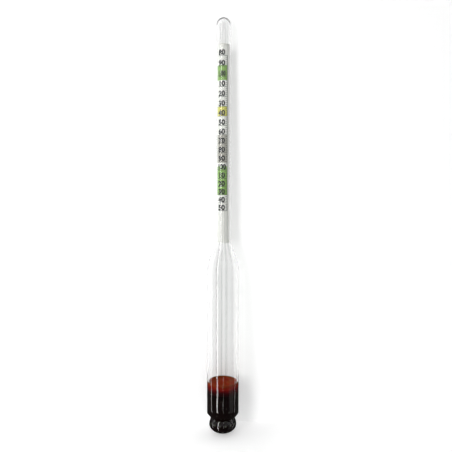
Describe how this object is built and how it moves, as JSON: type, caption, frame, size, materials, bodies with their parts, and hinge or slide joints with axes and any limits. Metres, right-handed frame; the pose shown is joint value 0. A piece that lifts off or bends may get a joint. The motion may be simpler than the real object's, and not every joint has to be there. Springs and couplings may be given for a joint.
{
  "type": "hydrometer",
  "caption": "Sealed glass float with a ballast bulb, a wide body and a narrow stem holding a rolled paper scale, read at the liquid surface.",
  "frame": {"origin": "lowest point of the ballast bulb, on the float's axis", "axes": "+Z along the axis from the ballast bulb to the stem tip, as it floats; the front of the scale faces -Y; +X is to the right of someone reading it"},
  "size_m": [0.0198, 0.0198, 0.26],
  "materials": {
    "glass": "clear flame-polished borosilicate glass",
    "scale_paper": "smooth white scale paper with pale green, yellow and grey bands",
    "scale_ink": "black printed graduations and numbers",
    "adhesive": "clear set adhesive",
    "sealing_wax": "glossy translucent red-brown sealing wax",
    "bound_shot": "near-black dark red wax round the shot, wet against the glass",
    "shot": "dark blued shot with small highlights"
  },
  "bodies": {
    "root": {"ballast_bulb": "glass", "body_base": "glass", "body_tube": "glass", "shoulder": "glass", "stem_tube": "glass", "stem_tip": "glass", "scale_paper": "scale_paper", "scale_adhesive": "adhesive", "sealing_wax": "sealing_wax", "bound_shot": "bound_shot", "shot_core": "shot", "shot_01": "shot", "shot_02": "shot", "shot_03": "shot", "shot_04": "shot", "shot_05": "shot", "shot_06": "shot", "shot_07": "shot", "shot_08": "shot", "shot_09": "shot", "shot_10": "shot", "shot_11": "shot", "shot_12": "shot", "shot_13": "shot", "shot_14": "shot", "shot_15": "shot", "shot_16": "shot", "shot_17": "shot", "shot_18": "shot", "shot_19": "shot", "shot_20": "shot", "shot_21": "shot", "shot_22": "shot", "shot_23": "shot", "shot_24": "shot", "shot_25": "shot", "shot_26": "shot", "shot_27": "shot", "shot_28": "shot", "shot_29": "shot", "shot_30": "shot", "shot_31": "shot", "shot_32": "shot", "shot_33": "shot", "shot_34": "shot", "shot_35": "shot", "shot_36": "shot", "shot_37": "shot", "shot_38": "shot", "shot_39": "shot", "shot_40": "shot", "shot_41": "shot", "shot_42": "shot", "shot_43": "shot", "shot_44": "shot", "shot_45": "shot", "shot_46": "shot"}
  },
  "joints": []
}
